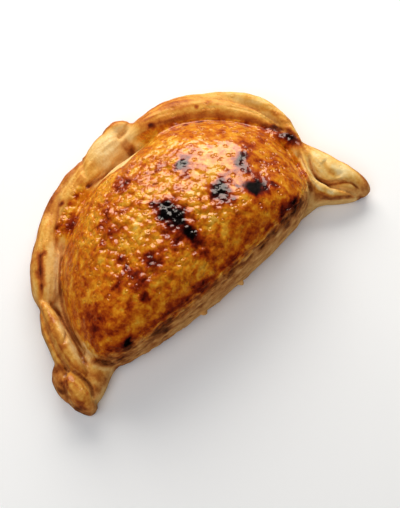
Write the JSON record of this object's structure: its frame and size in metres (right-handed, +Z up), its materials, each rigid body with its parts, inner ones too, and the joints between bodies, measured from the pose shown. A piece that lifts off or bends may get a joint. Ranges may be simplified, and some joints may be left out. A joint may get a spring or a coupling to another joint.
{
  "type": "empanada",
  "caption": "Baked half-moon pastry with a plump glazed body, a straight folded side and a rolled, twisted rim that ends in two pinched tips.",
  "frame": {"origin": "under the middle of the pastry's outline, on the surface that it rests on", "axes": "+X from the left tip to the right tip, +Y from the straight folded side to the rolled rim, +Z up"},
  "size_m": [0.151, 0.0906, 0.0373],
  "materials": {
    "crust": "egg-washed baked dough, glossy amber with brown and charred spots, pale and matt in the folds"
  },
  "bodies": {
    "root": {"empanada": "crust"}
  },
  "joints": []
}
